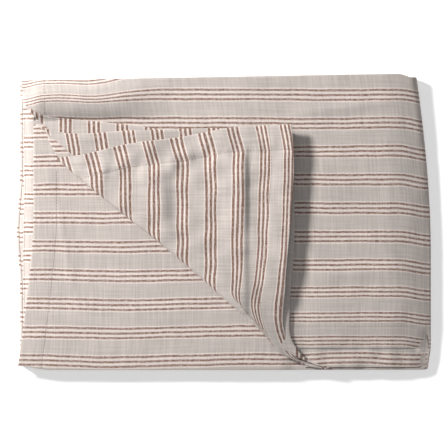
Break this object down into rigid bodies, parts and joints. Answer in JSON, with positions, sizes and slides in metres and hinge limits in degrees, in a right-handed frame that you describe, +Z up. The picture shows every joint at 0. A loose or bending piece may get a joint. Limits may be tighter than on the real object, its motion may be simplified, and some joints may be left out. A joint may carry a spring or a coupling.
{
  "type": "baby wrap sling",
  "caption": "Long striped linen carrying wrap, folded flat into a rectangular stack with one hemmed corner turned back.",
  "frame": {"origin": "middle of the stack's rectangle, on the surface it lies on", "axes": "+X from the free left edges to the folded spine, +Y from the front edge to the back edge, +Z up"},
  "size_m": [0.455, 0.325, 0.0194],
  "materials": {
    "wrap_cloth": "plain-woven linen, grey-beige with groups of three thin brown lines between cream ones",
    "hem_cloth": "the same linen, doubled under at a hem",
    "sewing_thread": "matt spun thread in a straight lockstitch row"
  },
  "bodies": {
    "lower_half": {"lower_panel_1": "wrap_cloth", "lower_panel_2": "wrap_cloth", "lower_panel_3": "wrap_cloth", "lower_panel_4": "wrap_cloth"},
    "upper_half": {"upper_panel_1": "wrap_cloth", "upper_panel_2": "wrap_cloth", "under_leaf": "wrap_cloth", "under_leaf_end_hem": "hem_cloth", "under_leaf_end_stitching": "sewing_thread", "third_leaf": "wrap_cloth", "second_leaf": "wrap_cloth", "top_leaf": "wrap_cloth", "top_leaf_end_hem": "hem_cloth", "top_leaf_end_stitching": "sewing_thread", "top_leaf_side_hem": "hem_cloth", "top_leaf_side_stitching": "sewing_thread"},
    "corner_flap": {"flap_inner_leaf": "wrap_cloth", "flap_inner_end_hem": "hem_cloth", "flap_inner_end_stitching": "sewing_thread", "crease_roll_inner": "wrap_cloth", "flap_middle_leaf": "wrap_cloth", "flap_middle_end_hem": "hem_cloth", "flap_middle_end_stitching": "sewing_thread", "crease_roll_middle": "wrap_cloth", "flap_outer_leaf": "wrap_cloth", "flap_outer_end_hem": "hem_cloth", "flap_outer_end_stitching": "sewing_thread", "crease_roll_outer": "wrap_cloth", "flap_outer_side_hem": "hem_cloth", "flap_outer_side_stitching": "sewing_thread"}
  },
  "joints": [
    {"name": "spine_fold", "type": "hinge", "parent": "lower_half", "child": "upper_half", "pos_m": [0.2205, 0, 0.00805], "axis": [-0.043, 0.9991, 0], "range_deg": [0, 170]},
    {"name": "corner_crease", "type": "hinge", "parent": "upper_half", "child": "corner_flap", "pos_m": [-0.183, 0.0725, 0.01625], "axis": [0.7649, -0.6441, 0], "range_deg": [0, 165]}
  ]
}
